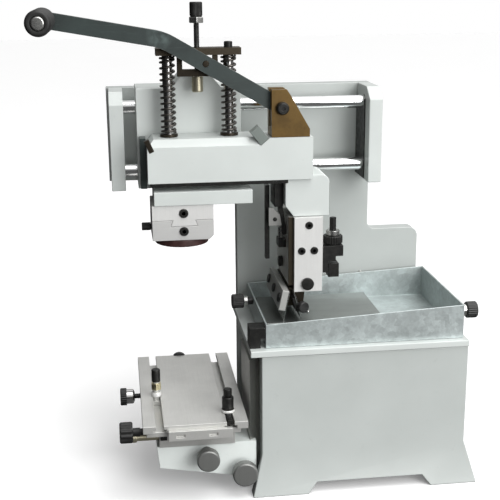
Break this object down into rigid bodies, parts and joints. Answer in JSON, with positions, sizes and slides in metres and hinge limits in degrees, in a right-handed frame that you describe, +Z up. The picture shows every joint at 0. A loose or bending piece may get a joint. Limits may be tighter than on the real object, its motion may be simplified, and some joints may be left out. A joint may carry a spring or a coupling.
{
  "type": "pad printing press",
  "caption": "Hand-lever pad printing press: sliding head on two rails, sprung ram, ink tray with etched plate and doctor blade, adjustable slotted table on a knee",
  "frame": {"origin": "centre of the box that encloses the machine, on the bench that its feet stand on", "axes": "+X to the right along the rails, from the work table towards the ink tray; +Y from the front to the column at the back; +Z up"},
  "size_m": [0.5098, 0.231, 0.574],
  "materials": {
    "grey_paint": "satin grey-green machine enamel",
    "cast_paint": "smooth light grey enamel on castings",
    "lever_paint": "dark green-grey paint, worn at the edges",
    "ochre_steel": "yellow-brown passivated steel",
    "brown_steel": "brown passivated flat steel",
    "chrome": "hard chromed and polished",
    "bright_steel": "bright steel",
    "ground_steel": "surface-ground steel",
    "milled_alloy": "milled aluminium",
    "dark_steel": "dark oiled steel",
    "black_oxide": "black oxide screws and blocks",
    "black_plastic": "black moulded knob",
    "rubber": "black rubber",
    "bronze": "bronze bush",
    "galvanised": "galvanised sheet with spangle"
  },
  "bodies": {
    "root": {"base_body": "grey_paint", "top_plate": "cast_paint", "column_plate": "grey_paint", "left_rail_bracket": "cast_paint", "right_rail_bracket": "cast_paint", "upper_rail": "chrome", "lower_rail": "chrome", "knee_slideway": "ground_steel", "ink_tray": "galvanised", "cliche_block": "dark_steel", "cliche_plate": "bright_steel", "tray_clamp_block": "black_oxide"},
    "left_tray_screw": {"left_tray_screw": "black_plastic"},
    "right_tray_screw": {"right_tray_screw": "black_plastic"},
    "carriage": {"slide_block": "cast_paint", "upper_rail_bush": "bronze", "lower_rail_bush": "bronze", "head_arm": "cast_paint", "stop_lug": "lever_paint", "blade_neck": "cast_paint", "lever_bracket": "ochre_steel", "pivot_bolt": "dark_steel", "left_rod_bush": "bronze", "right_rod_bush": "bronze", "left_spring": "bright_steel", "right_spring": "bright_steel", "holder_front_plate": "milled_alloy", "holder_block": "ground_steel", "lift_bracket": "black_oxide", "rocker_pin": "black_oxide"},
    "lift_screw": {"lift_screw": "black_oxide"},
    "rocker": {"rocker_block": "dark_steel", "blade_clamp": "ground_steel", "doctor_blade": "bright_steel", "ink_spatula": "bright_steel"},
    "lever": {"lever_bar": "lever_paint", "link_roller": "dark_steel", "grip_core": "bright_steel"},
    "grip": {"grip_sleeve": "rubber"},
    "ram": {"left_guide_rod": "chrome", "right_guide_rod": "chrome", "crossbar": "brown_steel", "yoke": "dark_steel", "pad_plate": "cast_paint", "pad_block": "milled_alloy"},
    "adjuster": {"adjust_screw": "black_oxide", "stop_sleeve": "bronze"},
    "pad_shoe": {"pad_shoe": "milled_alloy", "pad_disc": "rubber"},
    "shoe_screw": {"shoe_screw": "black_oxide"},
    "knee": {"knee": "cast_paint"},
    "knee_lock": {"knee_lock_knob": "ground_steel"},
    "cross_feed": {"cross_feed_knob": "ground_steel"},
    "cross_slide": {"cross_slide": "ground_steel"},
    "table": {"table": "ground_steel", "slotted_bar": "ground_steel"},
    "table_feed": {"table_feed_knob": "black_plastic"},
    "table_lock": {"table_lock_knob": "black_plastic"},
    "left_stud": {"left_stud": "dark_steel"},
    "right_stud": {"right_stud": "dark_steel"}
  },
  "joints": [
    {"name": "carriage_slide", "type": "slide", "parent": "root", "child": "carriage", "axis": [1, 0, 0], "range_m": [-0.012, 0.15]},
    {"name": "lever_swing", "type": "hinge", "parent": "carriage", "child": "lever", "pos_m": [0.0244, -0.0185, 0.455], "axis": [0, -1, 0], "range_deg": [0, 29.5]},
    {"name": "ram_slide", "type": "slide", "parent": "carriage", "child": "ram", "axis": [0, 0, -1], "range_m": [0, 0.0493], "stiffness_N_per_m": 3000, "springref_m": -0.02, "deforming": ["left_spring", "right_spring"]},
    {"name": "grip_turn", "type": "hinge", "parent": "lever", "child": "grip", "pos_m": [-0.2411, -0.0695, 0.557], "axis": [0, 1, 0], "range_deg": [-180, 180]},
    {"name": "adjuster_turn", "type": "hinge", "parent": "ram", "child": "adjuster", "pos_m": [-0.0701, 0.0025, 0.53], "axis": [0, 0, 1], "range_deg": [-180, 180]},
    {"name": "blade_rock", "type": "hinge", "parent": "carriage", "child": "rocker", "pos_m": [0.0549, 0.0105, 0.243], "axis": [0, 1, 0], "range_deg": [0, 4]},
    {"name": "lift_screw_turn", "type": "hinge", "parent": "carriage", "child": "lift_screw", "pos_m": [0.0889, -0.0165, 0.3], "axis": [0, 0, 1], "range_deg": [-180, 180]},
    {"name": "shoe_slide", "type": "slide", "parent": "ram", "child": "pad_shoe", "axis": [0, -1, 0], "range_m": [0, 0.062]},
    {"name": "shoe_screw_turn", "type": "hinge", "parent": "pad_shoe", "child": "shoe_screw", "pos_m": [-0.1291, -0.0015, 0.314], "axis": [1, 0, 0], "range_deg": [-180, 180]},
    {"name": "left_tray_screw_turn", "type": "hinge", "parent": "root", "child": "left_tray_screw", "pos_m": [-0.0091, 0.0305, 0.204], "axis": [1, 0, 0], "range_deg": [-180, 180]},
    {"name": "right_tray_screw_turn", "type": "hinge", "parent": "root", "child": "right_tray_screw", "pos_m": [0.2409, -0.0695, 0.212], "axis": [1, 0, 0], "range_deg": [-180, 180]},
    {"name": "knee_slide", "type": "slide", "parent": "root", "child": "knee", "axis": [0, 0, 1], "range_m": [-0.004, 0.06]},
    {"name": "knee_lock_turn", "type": "hinge", "parent": "knee", "child": "knee_lock", "pos_m": [-0.0311, -0.0815, 0.031], "axis": [0, 1, 0], "range_deg": [-180, 180]},
    {"name": "cross_slide_move", "type": "slide", "parent": "knee", "child": "cross_slide", "axis": [0, 1, 0], "range_m": [-0.012, 0.012]},
    {"name": "cross_feed_turn", "type": "hinge", "parent": "knee", "child": "cross_feed", "pos_m": [-0.0751, -0.0815, 0.055], "axis": [0, 1, 0], "range_deg": [-865, 865]},
    {"name": "table_move", "type": "slide", "parent": "cross_slide", "child": "table", "axis": [1, 0, 0], "range_m": [-0.01, 0.005]},
    {"name": "table_feed_turn", "type": "hinge", "parent": "table", "child": "table_feed", "pos_m": [-0.1591, -0.0815, 0.085], "axis": [1, 0, 0], "range_deg": [-721, 361]},
    {"name": "table_lock_turn", "type": "hinge", "parent": "table", "child": "table_lock", "pos_m": [-0.1591, 0.0205, 0.087], "axis": [1, 0, 0], "range_deg": [-180, 180]},
    {"name": "left_stud_slide", "type": "slide", "parent": "table", "child": "left_stud", "axis": [0, 1, 0], "range_m": [-0.075, 0.12]},
    {"name": "right_stud_slide", "type": "slide", "parent": "table", "child": "right_stud", "axis": [0, 1, 0], "range_m": [-0.015, 0.15]}
  ],
  "couplings": [
    {"joint": "ram_slide", "follows": "lever_swing", "m_per_rad": 0.0956},
    {"joint": "cross_feed_turn", "follows": "cross_slide_move", "rad_per_m": 1256.6},
    {"joint": "table_feed_turn", "follows": "table_move", "rad_per_m": 1256.6}
  ]
}
